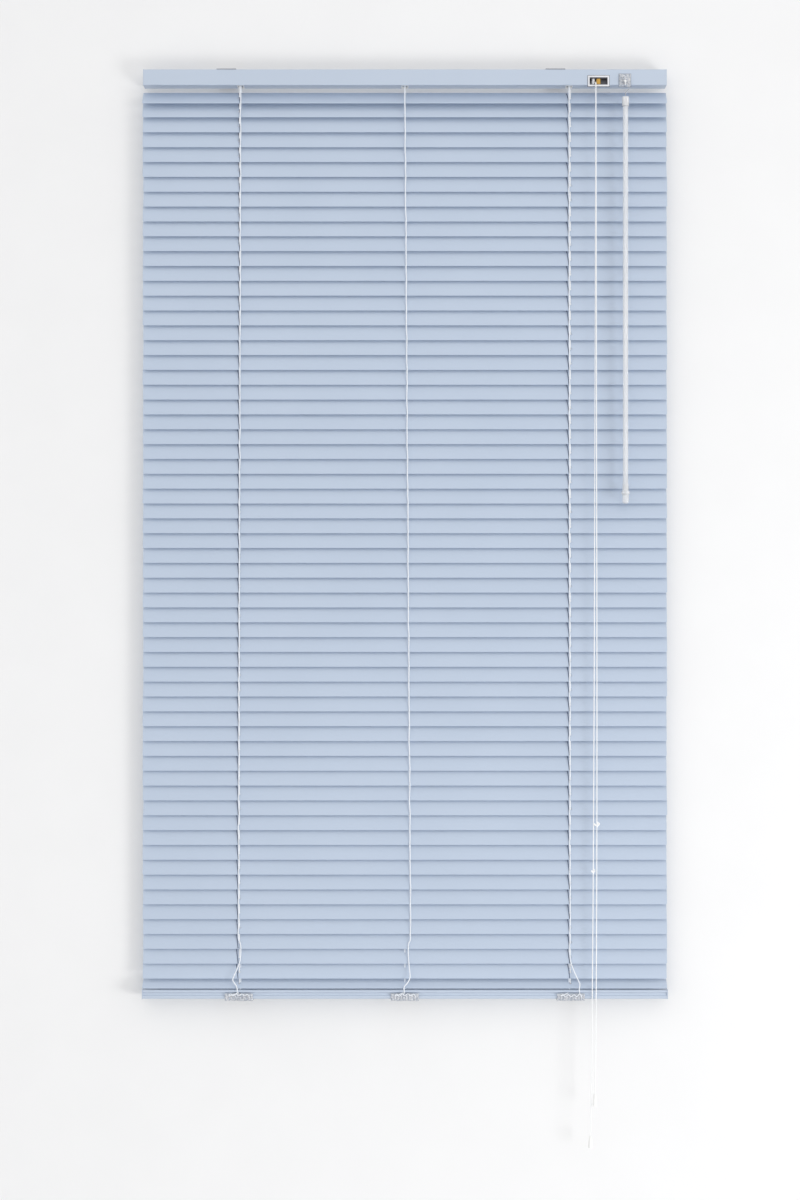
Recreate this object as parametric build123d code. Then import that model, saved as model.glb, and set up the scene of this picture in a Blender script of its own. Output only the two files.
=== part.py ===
"""Aluminium venetian blind, closed and lowered, hanging from two clip brackets on a wall.

Millimetres. +X runs along the rail to the right, -Y faces the room, +Z is up. The origin is midway
between the two bracket screw holes, on the face of the wall.
"""

from build123d import *
import math
import os

os.makedirs("parts", exist_ok=True)

# Slats
slat_count = 61
slat_length = 750.0
slat_width = 25.0
slat_thickness = 0.2
slat_crown = 1.3
slat_tilt = 75.0
top_slat_tilts = (48.0, 66.0, 72.0)
last_slat_tilt = 23.0
first_edge_drop = 25.05
first_pitch = 19.3
slat_pitch = 21.25
last_pitch = 12.8
slot_width = 3.5
slot_length = 10.0

# Ladder cords, flat braid
ladder_inset = 140.0
ladder_spread = slat_length / 2 - ladder_inset
ladder_braid = 1.2
rung_thickness = 0.5
ladder_slot_offset = 1.9
edge_clearance = 0.1

# Head rail, a roll-formed channel that is open at the top
rail_shorter = 5.0
rail_length = slat_length - rail_shorter
rail_depth = 25.0
rail_height = 22.5
rail_sheet = 0.6
rail_lip = 3.0
rail_lip_return = 1.5
rail_bend = 1.0
rail_cap_plate = 1.2
rail_cap_plug = 7.0

# Wall brackets
bracket_inset = 140.0
bracket_spacing = slat_length - 2 * bracket_inset
bracket_width = 28.0
bracket_height = 22.0
bracket_sheet = 1.2
bracket_hole_radius = 2.25
wall_gap = 6.0
blind_offset = 20.0
tongue_inner = 8.5
tongue_outer = 13.0
rivet_radius = 1.5
rivet_head_radius = 2.6
rivet_head = 0.8
lever_sheet = 1.7
lever_disc_radius = 5.0
lever_nose_width = 6.0
lever_nose_reach = 6.8
lever_handle_width = 4.4
lever_handle_reach = 14.0
lever_behind_front = 17.0

# Tilt rod, drums and their cradles
rod_size = 4.8
rod_corner = 0.6
rod_below_top = 12.5
rod_past_cradle = 12.0
rod_past_tilter = 12.0
drum_hub_radius = 5.6
drum_flange_radius = 6.6
drum_hub_length = 4.8
drum_flange = 1.0
journal_radius = 3.9
journal_length = 3.0
cradle_cheek = 1.5
cradle_gap = 8.0
cradle_length = 13.0
cradle_base = 1.0
cradle_snout_length = 10.0
cradle_snout_width = 17.2
cradle_snout_wall = 1.5
cradle_snout_drop = 0.4

# Tilter, a worm drive
tilter_past_ladder = 79.0
tilter_from_middle = ladder_spread + tilter_past_ladder
tilter_width = 14.0
tilter_cover_width = 16.6
tilter_cover_height = 18.0
tilter_cover_above = 2.6
tilter_cover_sheet = 1.2
tilter_cutout_top = 1.9
gear_teeth = 16
gear_module = 0.825
gear_width = 2.0
worm_centre_distance = 9.0
worm_angle = 45.0
worm_tip_radius = 3.05
worm_root_radius = 1.6
worm_shaft_radius = 2.0
worm_end = 1.0
tooth_clearance = 0.2
snout_reach = 16.0
snout_start = 6.2
snout_radius = 3.2
eye_reach = 22.0
eye_radius = 2.4
eye_wire = 1.2
eye_slack = 0.67
neck_start = 17.0
neck_radius = 1.2

# Wand
hook_wire = 1.2
hook_width = 4.8
hook_drop = 24.5
sleeve_top_drop = 19.5
sleeve_length = 13.0
sleeve_radius = 4.8
sleeve_wall = 0.9
wand_flats = 6.4
wand_length = 560.0
wand_bore_depth = 8.0
grip_length = 28.0
grip_radius = 4.6
grip_ring_radius = 6.0
grip_ring = 2.0
grip_cover = 14.0

# Cord lock
lock_past_ladder = 41.4
lock_from_middle = ladder_spread + lock_past_ladder
lock_width = 28.0
lock_height = 10.2
lock_wall = 1.2
lock_bezel_width = 30.5
lock_bezel_height = 14.5
lock_bezel_sheet = 0.6
lock_cord_left_of_lock = 4.1
guide_radius = 2.5
guide_pin_radius = 1.0
lock_roller_radius = 3.2
lock_roller_length = 7.8
lock_pin_radius = 1.0
lock_travel = 2.5
lock_slot_angle = 20.0

# Lift cords and pull cords
cord_diameter = 1.4
cord_lane_gap = 1.6
cord_lane_behind_front = 7.3
pull_cord_left_drop = 1506.0
pull_cord_right_drop = 1446.0
pull_cord_left_stand = 2.5
pull_cord_right_stand = 4.2
tassel_length = 17.0
tassel_top_radius = 1.7
tassel_bottom_radius = 3.3
tassel_bore_depth = 7.0
knot_radius = 2.3
knot_length = 6.0

# Bottom rail
bottom_rail_shorter = 2.2
bottom_rail_length = slat_length - bottom_rail_shorter
bottom_rail_side = 9.7
bottom_rail_crown = 2.5
bottom_rail_sheet = 0.6
bottom_rail_ledge = 0.5
bottom_rail_recess = 1.2
bottom_rail_lip = 4.3
bottom_rail_corner = 1.0
bottom_rail_gap = 5.1
bottom_rail_seam = 1.0
bottom_cap_plate = 1.6
bottom_cap_plug = 8.0
bottom_cap_lip = 0.3
lift_hole_radius = 1.6
clip_length = 40.0
clip_wall = 1.0
clip_side = 8.0
clip_plug_radius = 4.0
clip_plug_wall = 1.6
clip_plug_height = 1.8
stop_knot_radius = 2.1
stop_knot_length = 4.0

# Clearances
running = 0.05
seat = 0.3
slip = 0.2

# Places that follow from the sizes above
middle_y = -(wall_gap + rail_depth / 2)
front_y = -(wall_gap + rail_depth)
rear_y = -wall_gap
bracket_top = bracket_height / 2
rail_top = bracket_top - bracket_sheet - seat
rail_bottom = rail_top - rail_height
rail_floor = rail_bottom + rail_sheet
lip_bottom = rail_top - rail_lip_return
rod_z = rail_top - rod_below_top
ladder_xs = (blind_offset - ladder_spread, blind_offset, blind_offset + ladder_spread)
left_slot_x = ladder_xs[0] - ladder_slot_offset
right_slot_x = ladder_xs[2] + ladder_slot_offset
tilter_x = blind_offset + tilter_from_middle
lock_x = blind_offset + lock_from_middle
lock_cord_x = lock_x - lock_cord_left_of_lock
half_chord = slat_width / 2
tilt = math.radians(slat_tilt)
last_tilt = math.radians(last_slat_tilt)
cord_radius = cord_diameter / 2
lift_y = middle_y - slat_crown * math.sin(tilt)
lane_y = front_y + cord_lane_behind_front
lane_z = rail_floor + cradle_base + cord_radius + slip / 2
high_lane_z = lane_z + cord_lane_gap
rung_depth = slat_thickness + rung_thickness / 2 + running


def slat_angles():
    """Tilts of the slats, from the top slat down; the drums keep the top ones from closing fully."""
    alike = slat_count - len(top_slat_tilts) - 1
    return [math.radians(angle) for angle in (*top_slat_tilts, *[slat_tilt] * alike, last_slat_tilt)]


def slat_heights():
    """Heights of the slats' chord centres; the pitches are those of the front edges."""
    edges = [rail_bottom - first_edge_drop]
    edges.append(edges[0] - first_pitch)
    while len(edges) < slat_count - 1:
        edges.append(edges[-1] - slat_pitch)
    edges.append(edges[-1] - last_pitch)
    return [edge + half_chord * math.sin(angle) for edge, angle in zip(edges, angles)]


angles = slat_angles()
heights = slat_heights()
last_front_edge_y = middle_y - half_chord * math.cos(last_tilt)
last_front_edge_z = heights[-1] - half_chord * math.sin(last_tilt)
last_rear_edge_z = heights[-1] + half_chord * math.sin(last_tilt)
ladder_end_z = last_front_edge_z - ladder_braid
shoulder_z = last_front_edge_z - bottom_rail_gap
bottom_z = shoulder_z - bottom_rail_side
stop_knot_z = bottom_z - 2 * seat - ladder_braid + stop_knot_length / 2 + slip


def block(x, y, z):
    """A box from pairs of low and high values."""
    centre = [(pair[0] + pair[1]) / 2 for pair in (x, y, z)]
    size = [pair[1] - pair[0] for pair in (x, y, z)]
    return Pos(*centre) * Box(*size)


def about(centre, half):
    """The pair of values that lie half either side of centre."""
    return (centre - half, centre + half)


def bar(start, end, radius):
    """A round bar between two points."""
    axis = Vector(*end) - Vector(*start)
    plane = Plane(origin=start, z_dir=axis)
    return plane * Cylinder(radius, axis.length, align=(Align.CENTER, Align.CENTER, Align.MIN))


def bar_x(x, y, z, radius):
    """A round bar along X, over the pair of values x."""
    return bar((x[0], y, z), (x[1], y, z), radius)


def bar_z(x, y, z, radius):
    """A round bar along Z, over the pair of values z."""
    return bar((x, y, z[0]), (x, y, z[1]), radius)


def profile_x(face, x):
    """A section drawn in Y and Z, run along X over the pair of values x."""
    return Pos(X=x[0]) * extrude(Plane.YZ * face, x[1] - x[0])


def fillet_radii(points):
    """Each corner's largest gentle radius: 0.45 of the shorter run over the tangent of half the turn."""
    vectors = [Vector(*point) for point in points]
    radii = []
    for before, corner, after in zip(vectors, vectors[1:], vectors[2:]):
        turn = math.radians((corner - before).get_angle(after - corner))
        shorter = min((corner - before).length, (after - corner).length)
        radii.append(0.45 * shorter / math.tan(turn / 2))
    return radii


def cord_tube(name, points, limit=None):
    """A round cord along straight runs joined by tangent arcs; limit caps the radii at tight guides."""
    radii = fillet_radii(points)
    if limit:
        radii = [min(radius, limit) for radius in radii]
    print(name, "corner radii", [round(radius, 1) for radius in radii])
    path = FilletPolyline(*points, radius=radii)
    print(name, "length", round(path.length, 1))
    start = Plane(origin=path @ 0, z_dir=path % 0)
    return sweep(start * Circle(cord_diameter / 2), path=path)


def slat_section():
    """The crowned strip: chord along the first axis, crown up."""
    radius = slat_width**2 / (8 * slat_crown) + slat_crown / 2
    half_angle = math.degrees(math.asin(half_chord / radius))
    centre = (0, slat_crown - radius)
    outer = CenterArc(centre, radius, 90 - half_angle, 2 * half_angle)
    inner = CenterArc(centre, radius - slat_thickness, 90 - half_angle, 2 * half_angle)
    return make_face([outer, inner, Line(outer @ 0, inner @ 0), Line(outer @ 1, inner @ 1)])


def flat_slat():
    """One slat, lying open about the origin, with the two slots that the lift cords pass through."""
    slat = profile_x(slat_section(), about(blind_offset, slat_length / 2))
    for x in (left_slot_x, right_slot_x):
        cut = block(about(x, slot_width / 2), about(0, slot_length / 2), (0, 2 * slat_crown))
        slat -= cut
    return slat


def cord_stand_off(angle):
    """How far each cord's middle lies from the slats' middle, clear of their edges."""
    return half_chord * math.cos(angle) + slat_thickness + edge_clearance + ladder_braid / 2


def ladder_face():
    """Front cord, rear cord and rungs of one ladder, drawn in Y and Z."""
    stand_off = cord_stand_off(tilt)
    drum_side = drum_hub_radius + seat + ladder_braid / 2
    snout_side = (cradle_snout_width - cradle_snout_wall - ladder_braid) / 2 - slip
    last_stand_off = cord_stand_off(last_tilt)
    lower_turn = heights[-2] - half_chord * math.sin(tilt)
    face = Sketch()
    for side, last_edge_z in ((-1, last_front_edge_z), (1, last_rear_edge_z)):
        points = [(side * drum_side, rod_z), (side * snout_side, rail_bottom - cradle_snout_drop)]
        for height, angle in zip(heights, angles[:len(top_slat_tilts) + 1]):
            edge_z = height + side * half_chord * math.sin(angle)
            rung_z = rung_end(height, angle, side, rung_depth)[1]
            points.append((side * cord_stand_off(angle), max(edge_z, rung_z) + seat))
            points.append((side * cord_stand_off(angle), min(edge_z, rung_z) - seat))
        points.pop()
        last_turn = last_edge_z + ladder_braid
        turn = max(lower_turn, last_turn + ladder_braid)
        points += [(side * stand_off, turn), (side * last_stand_off, last_turn)]
        points.append((side * last_stand_off, ladder_end_z))
        face += trace(Polyline(*[(middle_y + y, z) for y, z in points]), ladder_braid)
    return face


def rung_end(height, angle, side, depth):
    """Where a rung that lies depth under its slat's chord meets the cord on one side."""
    stand_off = cord_stand_off(angle)
    reach = (side * stand_off - depth * math.sin(angle)) / math.cos(angle)
    return (side * stand_off, height + reach * math.sin(angle) - depth * math.cos(angle))


def rung_line(height, angle, front_lift):
    """A rung under one slat, from the front cord to the rear cord; front_lift presses it to the front edge."""
    ends = [rung_end(height, angle, -1, rung_depth - front_lift), rung_end(height, angle, 1, rung_depth)]
    return trace(Line(*[(middle_y + y, z) for y, z in ends]), rung_thickness)


def slats_on_ladders():
    """All slats and the three ladders that carry them.

    Each slat is held by its rung on the middle ladder. On the outer ladders, the end slats are held and
    the others lie just clear of their rungs.
    """
    held_lift = 2 * running + slat_thickness / 4
    slat = flat_slat()
    slats = []
    for height, angle in zip(heights, angles):
        slats.append(Pos(0, middle_y, height) * Rot(X=math.degrees(angle)) * slat)
    ladders = []
    for x in ladder_xs:
        rungs = []
        for index, (height, angle) in enumerate(zip(heights, angles)):
            ends = index in (0, slat_count - 1)
            lift = held_lift if x == ladder_xs[1] or ends else 0
            rungs.append(rung_line(height, angle, lift))
        face = ladder_face() + rungs
        ladders.append(profile_x(face, about(x, ladder_braid / 2)))
    return ladders[1].fuse(ladders[0], ladders[2], *slats)


def head_rail():
    """The channel, with its lips turned in and down, and its cut-outs."""
    half = rail_sheet / 2
    path = FilletPolyline(
        (front_y + rail_lip - half, lip_bottom),
        (front_y + rail_lip - half, rail_top - half),
        (front_y + half, rail_top - half),
        (front_y + half, rail_bottom + half),
        (rear_y - half, rail_bottom + half),
        (rear_y - half, rail_top - half),
        (rear_y - rail_lip + half, rail_top - half),
        (rear_y - rail_lip + half, lip_bottom),
        radius=rail_bend - half,
    )
    rail = profile_x(trace(path, rail_sheet), about(blind_offset, rail_length / 2))
    for x in ladder_xs:
        slot_x = about(x, cradle_snout_length / 2 + slip / 2)
        slot_y = about(middle_y, cradle_snout_width / 2 + slip / 2)
        rail -= block(slot_x, slot_y, about(rail_bottom, 2 * rail_sheet))
    window_z = (rail_floor, rail_floor + lock_height + slip)
    rail -= block(about(lock_x, lock_width / 2 + slip / 2), about(front_y, 2 * rail_sheet), window_z)
    tilter_x_span = about(tilter_x, tilter_width / 2 + slip / 2)
    rail -= block(tilter_x_span, (front_y - slip, front_y + rail_depth / 4), (rail_bottom - slip, tilter_cutout_top))
    return rail


def rail_end_cap(side):
    """Moulded cap that closes an end of the channel; side is -1 on the left and 1 on the right."""
    end = blind_offset + side * rail_length / 2
    outer = sorted((end, end + side * rail_cap_plate))
    inner = sorted((end, end - side * rail_cap_plug))
    plate = block(outer, (front_y, rear_y), (rail_bottom, rail_top))
    plug_y = (front_y + rail_bend + slip, rear_y - rail_bend - slip)
    plug = block(inner, plug_y, (rail_floor, lip_bottom - slip))
    hollow_y = (plug_y[0] + rail_cap_plate, plug_y[1] - rail_cap_plate)
    plug -= block(inner, hollow_y, (rail_floor + rail_cap_plate, rail_top))
    edges = plate.edges().filter_by(Axis.X)
    return fillet(edges, rail_bend / 2) + plug


def wall_bracket(x):
    """Folded steel bracket: a back leg on the wall, a top leg over the rail and two tongues under its front lip."""
    across = about(x, bracket_width / 2)
    bracket = block(across, (-bracket_sheet, 0), (-bracket_top, bracket_top))
    bracket += block(across, (front_y + rail_sheet, 0), (bracket_top - bracket_sheet, bracket_top))
    tongue_y = front_y + rail_lip + seat
    tongue_top = lip_bottom - seat
    for side in (-1, 1):
        tongue_x = sorted((x + side * tongue_inner, x + side * tongue_outer))
        drop_z = (tongue_top - bracket_sheet, bracket_top - bracket_sheet)
        bracket += block(tongue_x, (tongue_y, tongue_y + bracket_sheet), drop_z)
        hook_y = (front_y + rail_sheet + slip, tongue_y)
        bracket += block(tongue_x, hook_y, (tongue_top - bracket_sheet, tongue_top))
    bracket -= bar((x, 1, 0), (x, -2 * bracket_sheet, 0), bracket_hole_radius)
    pivot_z = (bracket_top - 2 * bracket_sheet, bracket_top + 1)
    bracket -= bar_z(x, lever_pivot_y(), pivot_z, rivet_radius)
    corners = bracket.edges().filter_by(Axis.Y).filter_by_position(Axis.Z, -bracket_top, -bracket_top + 0.01)
    return fillet(corners, 4 * bracket_sheet)


def lever_pivot_y():
    return front_y + lever_behind_front


def lever_heights():
    top = lip_bottom - seat
    return (top - lever_sheet, top)


def lever_rivet(x):
    """Headed rivet that the snap lever turns on."""
    low = lever_heights()[0] - slip / 2
    y = lever_pivot_y()
    rivet = bar_z(x, y, (low, bracket_top), rivet_radius)
    rivet += bar_z(x, y, (low - rivet_head, low), rivet_head_radius)
    rivet += bar_z(x, y, (bracket_top, bracket_top + rivet_head), rivet_head_radius)
    return rivet


def bracket_lever(x):
    """Snap lever: its nose locks under the rail's rear lip, and its handle turns it free."""
    z = lever_heights()
    y = lever_pivot_y()
    lever = bar_z(x, y, z, lever_disc_radius)
    lever += block(about(x, lever_nose_width / 2), (y, y + lever_nose_reach), z)
    lever += block((x - lever_handle_reach, x), about(y, lever_handle_width / 2), z)
    boss_top = bracket_top - bracket_sheet - slip / 2
    lever += bar_z(x, y, (z[0], boss_top), 2 * rivet_radius)
    return lever - bar_z(x, y, (z[0] - 1, boss_top + 1), rivet_radius + running)


def rod_section(clearance):
    size = rod_size + 2 * clearance
    return Pos(middle_y, rod_z) * RectangleRounded(size, size, rod_corner)


def tilt_rod():
    """Square rod with rounded corners through all drums and the worm gear."""
    start = ladder_xs[0] - rod_past_cradle
    return profile_x(rod_section(0), (start, tilter_x + rod_past_tilter))


def drum(x):
    """Grooved drum that winds one ladder's front and rear cords."""
    half_hub = drum_hub_length / 2
    half_flange = half_hub + drum_flange
    half_length = half_flange + journal_length
    body = bar_x(about(x, half_flange), middle_y, rod_z, drum_flange_radius)
    groove = bar_x(about(x, half_hub), middle_y, rod_z, drum_flange_radius + 1)
    body -= groove
    body += bar_x(about(x, half_hub), middle_y, rod_z, drum_hub_radius)
    body += bar_x(about(x, half_length), middle_y, rod_z, journal_radius)
    return body - profile_x(rod_section(running), about(x, half_length + 1))


def cradle(x):
    """Moulded cradle: a base in the rail, a snout through its floor and two cheeks with open bearings."""
    width_y = about(middle_y, rail_depth / 2 - rail_bend - slip)
    base_z = (rail_floor, rail_floor + cradle_base)
    body = block(about(x, cradle_length / 2), width_y, base_z)
    snout_x = cradle_snout_length / 2
    snout_y = cradle_snout_width / 2
    body += block(about(x, snout_x), about(middle_y, snout_y), (rail_bottom - cradle_snout_drop, rail_floor))
    cheek_y = about(middle_y, rail_depth / 2 - rail_sheet - 2 * cradle_cheek)
    for side in (-1, 1):
        near = x + side * cradle_gap / 2
        cheek_x = sorted((near, near + side * cradle_cheek))
        body += block(cheek_x, cheek_y, (rail_floor, rod_z + cradle_base))
    saddle = journal_radius + running
    body -= bar_x(about(x, cradle_length), middle_y, rod_z, saddle)
    body -= block(about(x, cradle_length), about(middle_y, saddle), (rod_z, rod_z + journal_radius))
    opening_y = about(middle_y, snout_y - cradle_snout_wall / 2)
    opening_z = (rail_bottom - 2 * cradle_snout_drop, rail_floor + cradle_base)
    body -= block(about(x, snout_x - cradle_snout_wall), opening_y, opening_z)
    notch_y = (lane_y - cord_diameter, middle_y - cord_radius / 2)
    notch_z = (rail_floor + cradle_base, lane_z + cord_diameter + slip)
    body -= block(about(x, cradle_length / 2 + 1), notch_y, notch_z)
    # The floor is cut back beside the opening, where a lift cord bends into its lane.
    return body - block(about(x, snout_x - 2 * slip), notch_y, (rail_floor, notch_z[1]))


def worm_direction():
    angle = math.radians(worm_angle)
    return Vector(0, -math.cos(angle), -math.sin(angle))


def worm_point(reach):
    """The point on the worm's axis that lies reach beyond the place nearest to the gear's axis."""
    down = worm_direction()
    across = Vector(0, down.Z, -down.Y)
    return Vector(tilter_x, middle_y, rod_z) + across * worm_centre_distance + down * reach


def worm_gear():
    """Gear on the tilt rod, with a journal on each side."""
    tip = worm_centre_distance - worm_root_radius - tooth_clearance
    root = worm_centre_distance - worm_tip_radius - tooth_clearance
    pitch = math.pi * gear_module
    tip_half = pitch * 0.12
    root_half = pitch * 0.2
    tooth = make_face(Polyline((root - 1, -root_half), (root, -root_half), (tip, -tip_half),
                               (tip, tip_half), (root, root_half), (root - 1, root_half), close=True))
    towards_worm = 180 - worm_angle
    face = Circle(root)
    for index in range(gear_teeth):
        face += Rot(Z=towards_worm + index * 360 / gear_teeth) * tooth
    face = Pos(middle_y, rod_z) * face
    gear = profile_x(face, about(tilter_x, gear_width / 2))
    half_length = tilter_width / 2
    gear += bar_x(about(tilter_x, half_length), middle_y, rod_z, journal_radius)
    return gear - profile_x(rod_section(running), about(tilter_x, half_length + 1))


def worm_shaft():
    """Worm, shaft, neck and the round-wire eye that the wand's hook hangs in."""
    pitch = math.pi * gear_module
    turns = 3
    frame = Plane(origin=worm_point(0), x_dir=worm_across(), z_dir=worm_direction())
    inner = worm_root_radius - slip
    helix = Helix(pitch=pitch, height=pitch * turns, radius=worm_root_radius)
    tip_half = pitch * 0.1
    root_half = pitch * 0.22
    depth = worm_tip_radius - inner
    outline = Polyline((0, -root_half), (depth, -tip_half), (depth, tip_half), (0, root_half), close=True)
    start = Plane(origin=(inner, 0, 0), x_dir=(1, 0, 0), z_dir=(0, -1, 0))
    thread = sweep(start * make_face(outline), path=helix, is_frenet=True)
    # The thread starts half a pitch from a tooth, so the tooth that faces the worm lies in a gap.
    thread = Pos(Z=-pitch * turns / 2) * thread
    half_length = pitch * turns / 2 + worm_end
    core = Pos(Z=-half_length) * Cylinder(
        worm_root_radius, 2 * half_length, align=(Align.CENTER, Align.CENTER, Align.MIN)
    )
    worm = core + thread
    low_end = (Align.CENTER, Align.CENTER, Align.MIN)
    shaft = Pos(Z=half_length) * Cylinder(worm_shaft_radius, neck_start - half_length, align=low_end)
    neck_length = eye_reach - eye_radius - neck_start
    neck = Pos(Z=neck_start) * Cylinder(neck_radius, neck_length, align=low_end)
    eye = Pos(Z=eye_reach) * Rot(X=90) * Torus(eye_radius, eye_wire / 2)
    return frame * (worm + shaft + neck + eye)


def hook_point():
    """Where the hook's wire crosses the eye, on the worm's axis."""
    return worm_point(eye_reach + eye_slack)


def worm_across():
    down = worm_direction()
    return Vector(0, down.Z, -down.Y) * -1


def tilter_housing():
    """Clear moulding: bearings for gear and worm, a snout round the shaft and a cover over the rail's cut-out."""
    across = about(tilter_x, tilter_width / 2)
    inner_y = (front_y + rail_bend + slip, rear_y - rail_bend - slip)
    top = lip_bottom - seat
    body = block(across, inner_y, (rail_floor, top))
    nose_z = (rail_floor, tilter_cutout_top - slip)
    body += block(across, (front_y, inner_y[0]), nose_z)
    cover_x = about(tilter_x, tilter_cover_width / 2)
    cover_z = (tilter_cover_above - tilter_cover_height, tilter_cover_above)
    body += block(cover_x, (front_y - tilter_cover_sheet, front_y), cover_z)
    body += bar(tuple(worm_point(snout_start)), tuple(worm_point(snout_reach)), snout_radius)
    pocket = worm_centre_distance - worm_root_radius - tooth_clearance + seat
    body -= bar_x(about(tilter_x, gear_width / 2 + seat), middle_y, rod_z, pocket)
    body -= bar_x(about(tilter_x, tilter_width), middle_y, rod_z, journal_radius + running)
    worm_half = 1.5 * math.pi * gear_module + worm_end
    worm_bore = worm_tip_radius + seat
    body -= bar(tuple(worm_point(-worm_half - slip)), tuple(worm_point(worm_half + slip)), worm_bore)
    shaft_bore = worm_shaft_radius + running
    body -= bar(tuple(worm_point(0)), tuple(worm_point(snout_reach + 1)), shaft_bore)
    window_y = (worm_point(0).Y - worm_bore, middle_y + pocket)
    return body - block(about(tilter_x, worm_bore), window_y, (rod_z + pocket / 2, top))


def wand_hook():
    """Bent wire from the wand's top to the eye; it passes through the eye along X."""
    eye = hook_point()
    x, y, z = eye.X, eye.Y, eye.Z
    low = z - hook_drop
    points = (
        (x, y, low),
        (x, y, z - 0.55 * hook_drop),
        (x + hook_width, y, z - 0.3 * hook_drop),
        (x + hook_width, y, z),
        (x - hook_width, y, z),
    )
    path = FilletPolyline(*points, radius=[hook_wire, hook_wire, 1.2 * hook_wire])
    start = Plane(origin=path @ 0, z_dir=path % 0)
    return sweep(start * Circle(hook_wire / 2), path=path)


def wand_top_z():
    return hook_point().Z - sleeve_top_drop - sleeve_length / 3


def wand():
    """Clear hexagonal wand with a bore for the hook."""
    eye = hook_point()
    top = wand_top_z()
    hexagon = RegularPolygon(wand_flats / 2, 6, major_radius=False)
    stick = Pos(eye.X, eye.Y, top - wand_length) * extrude(hexagon, wand_length)
    hook_low = eye.Z - hook_drop
    return stick - bar_z(eye.X, eye.Y, (hook_low, top + 1), hook_wire / 2 + running)


def wand_sleeve():
    """Clear sleeve over the joint of hook and wand."""
    eye = hook_point()
    top = eye.Z - sleeve_top_drop
    z = (top - sleeve_length, top)
    sleeve = bar_z(eye.X, eye.Y, z, sleeve_radius)
    return sleeve - bar_z(eye.X, eye.Y, (z[0] - 1, z[1] + 1), sleeve_radius - sleeve_wall)


def wand_grip():
    """Clear grip on the wand's lower end, with a flared ring."""
    eye = hook_point()
    bottom = wand_top_z() - wand_length
    top = bottom + grip_cover
    end = top - grip_length
    outline = make_face(Polyline((0, end), (0.7 * grip_radius, end), (grip_radius, end + grip_ring),
                                 (grip_radius, bottom - grip_ring), (grip_ring_radius, bottom),
                                 (grip_ring_radius, bottom + grip_ring),
                                 (0.95 * grip_radius, bottom + 2 * grip_ring),
                                 (0.9 * grip_radius, top), (0, top), close=True))
    grip = revolve(Plane.XZ * outline, Axis.Z)
    socket = extrude(RegularPolygon(wand_flats / 2 + running, 6, major_radius=False), grip_length)
    return Pos(eye.X, eye.Y, 0) * (grip - Pos(Z=bottom) * socket)


def lock_floor():
    return rail_floor


def guide_centre():
    """The guide roller's axis: the cords pass behind it and leave on its right."""
    offset = cord_radius + slip / 2 + guide_radius
    return (lock_cord_x - offset, lane_y - offset)


def lock_roller_centre():
    x = lock_cord_x + cord_radius + seat + lock_roller_radius
    return (x, front_y + rail_sheet + lock_roller_radius)


def lock_slide():
    """Direction in which the locking roller backs away from the cords."""
    angle = math.radians(lock_slot_angle)
    return (math.cos(angle), math.sin(angle))


def cord_lock_housing():
    """Open-fronted frame in the rail's window, with a bezel, the rollers' seats and slanted slots."""
    floor = lock_floor()
    top = floor + lock_height
    back = lane_y + cord_radius + 2 * slip
    body = block(about(lock_x, lock_width / 2), (front_y, back + lock_wall / 2), (floor, top))
    bezel_z = (rail_bottom - lock_bezel_sheet, rail_bottom - lock_bezel_sheet + lock_bezel_height)
    bezel_x = about(lock_x, lock_bezel_width / 2)
    body += block(bezel_x, (front_y - lock_bezel_sheet, front_y), bezel_z)
    lip_z = (rail_bottom - lock_bezel_sheet, rail_bottom)
    body += block(bezel_x, (front_y - lock_bezel_sheet, front_y + rail_lip), lip_z)
    cavity_x = about(lock_x, lock_width / 2 - lock_wall)
    cavity_z = (floor + lock_wall / 2, top - lock_wall)
    body -= block(cavity_x, (front_y - 1, back), cavity_z)
    entry_x = about(lock_x - lock_width / 2, 2 * lock_wall)
    entry_z = (cavity_z[0], high_lane_z + cord_diameter)
    body -= block(entry_x, (lane_y - cord_diameter, back), entry_z)
    pin_x, pin_y = guide_centre()
    through_z = (floor - 1, top + 1)
    body -= bar_z(pin_x, pin_y, (floor, top + 1), guide_pin_radius)
    roller_x, roller_y = lock_roller_centre()
    step_x, step_y = lock_slide()
    slot = SlotCenterToCenter(lock_travel, 2 * (lock_pin_radius + slip))
    middle = (roller_x + step_x * lock_travel / 2, roller_y + step_y * lock_travel / 2)
    turned = Pos(middle[0], middle[1], floor) * Rot(Z=lock_slot_angle) * slot
    return body - extrude(turned, through_z[1] - floor)


def guide_pin():
    """Fixed steel pin of the guide roller."""
    x, y = guide_centre()
    return bar_z(x, y, (lock_floor(), lock_floor() + lock_height), guide_pin_radius)


def guide_roller():
    """Waisted steel roller that turns the cords from the rail to the window."""
    x, y = guide_centre()
    low = lock_floor() + lock_wall / 2 + slip / 2
    high = lock_floor() + lock_height - lock_wall - slip
    roller = bar_z(x, y, (low, high), guide_radius)
    return roller - bar_z(x, y, (low - 1, high + 1), guide_pin_radius + running)


def lock_pin():
    """Steel pin that carries the locking roller and slides in the slanted slots."""
    x, y = lock_roller_centre()
    floor = lock_floor()
    return bar_z(x, y, (floor + slip / 2, floor + lock_height - slip / 2), lock_pin_radius)


def lock_roller():
    """Knurled brass roller that pinches the cords."""
    x, y = lock_roller_centre()
    low = lock_floor() + lock_wall / 2 + slip
    knurls = 12
    flutes = Circle(lock_roller_radius)
    for index in range(knurls):
        flutes -= Rot(Z=index * 360 / knurls) * Pos(lock_roller_radius, 0) * Rot(Z=45) * Rectangle(0.5, 0.5)
    roller = Pos(x, y, low) * extrude(flutes, lock_roller_length)
    return roller - bar_z(x, y, (low - 1, low + lock_roller_length + 1), lock_pin_radius + running)


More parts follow.
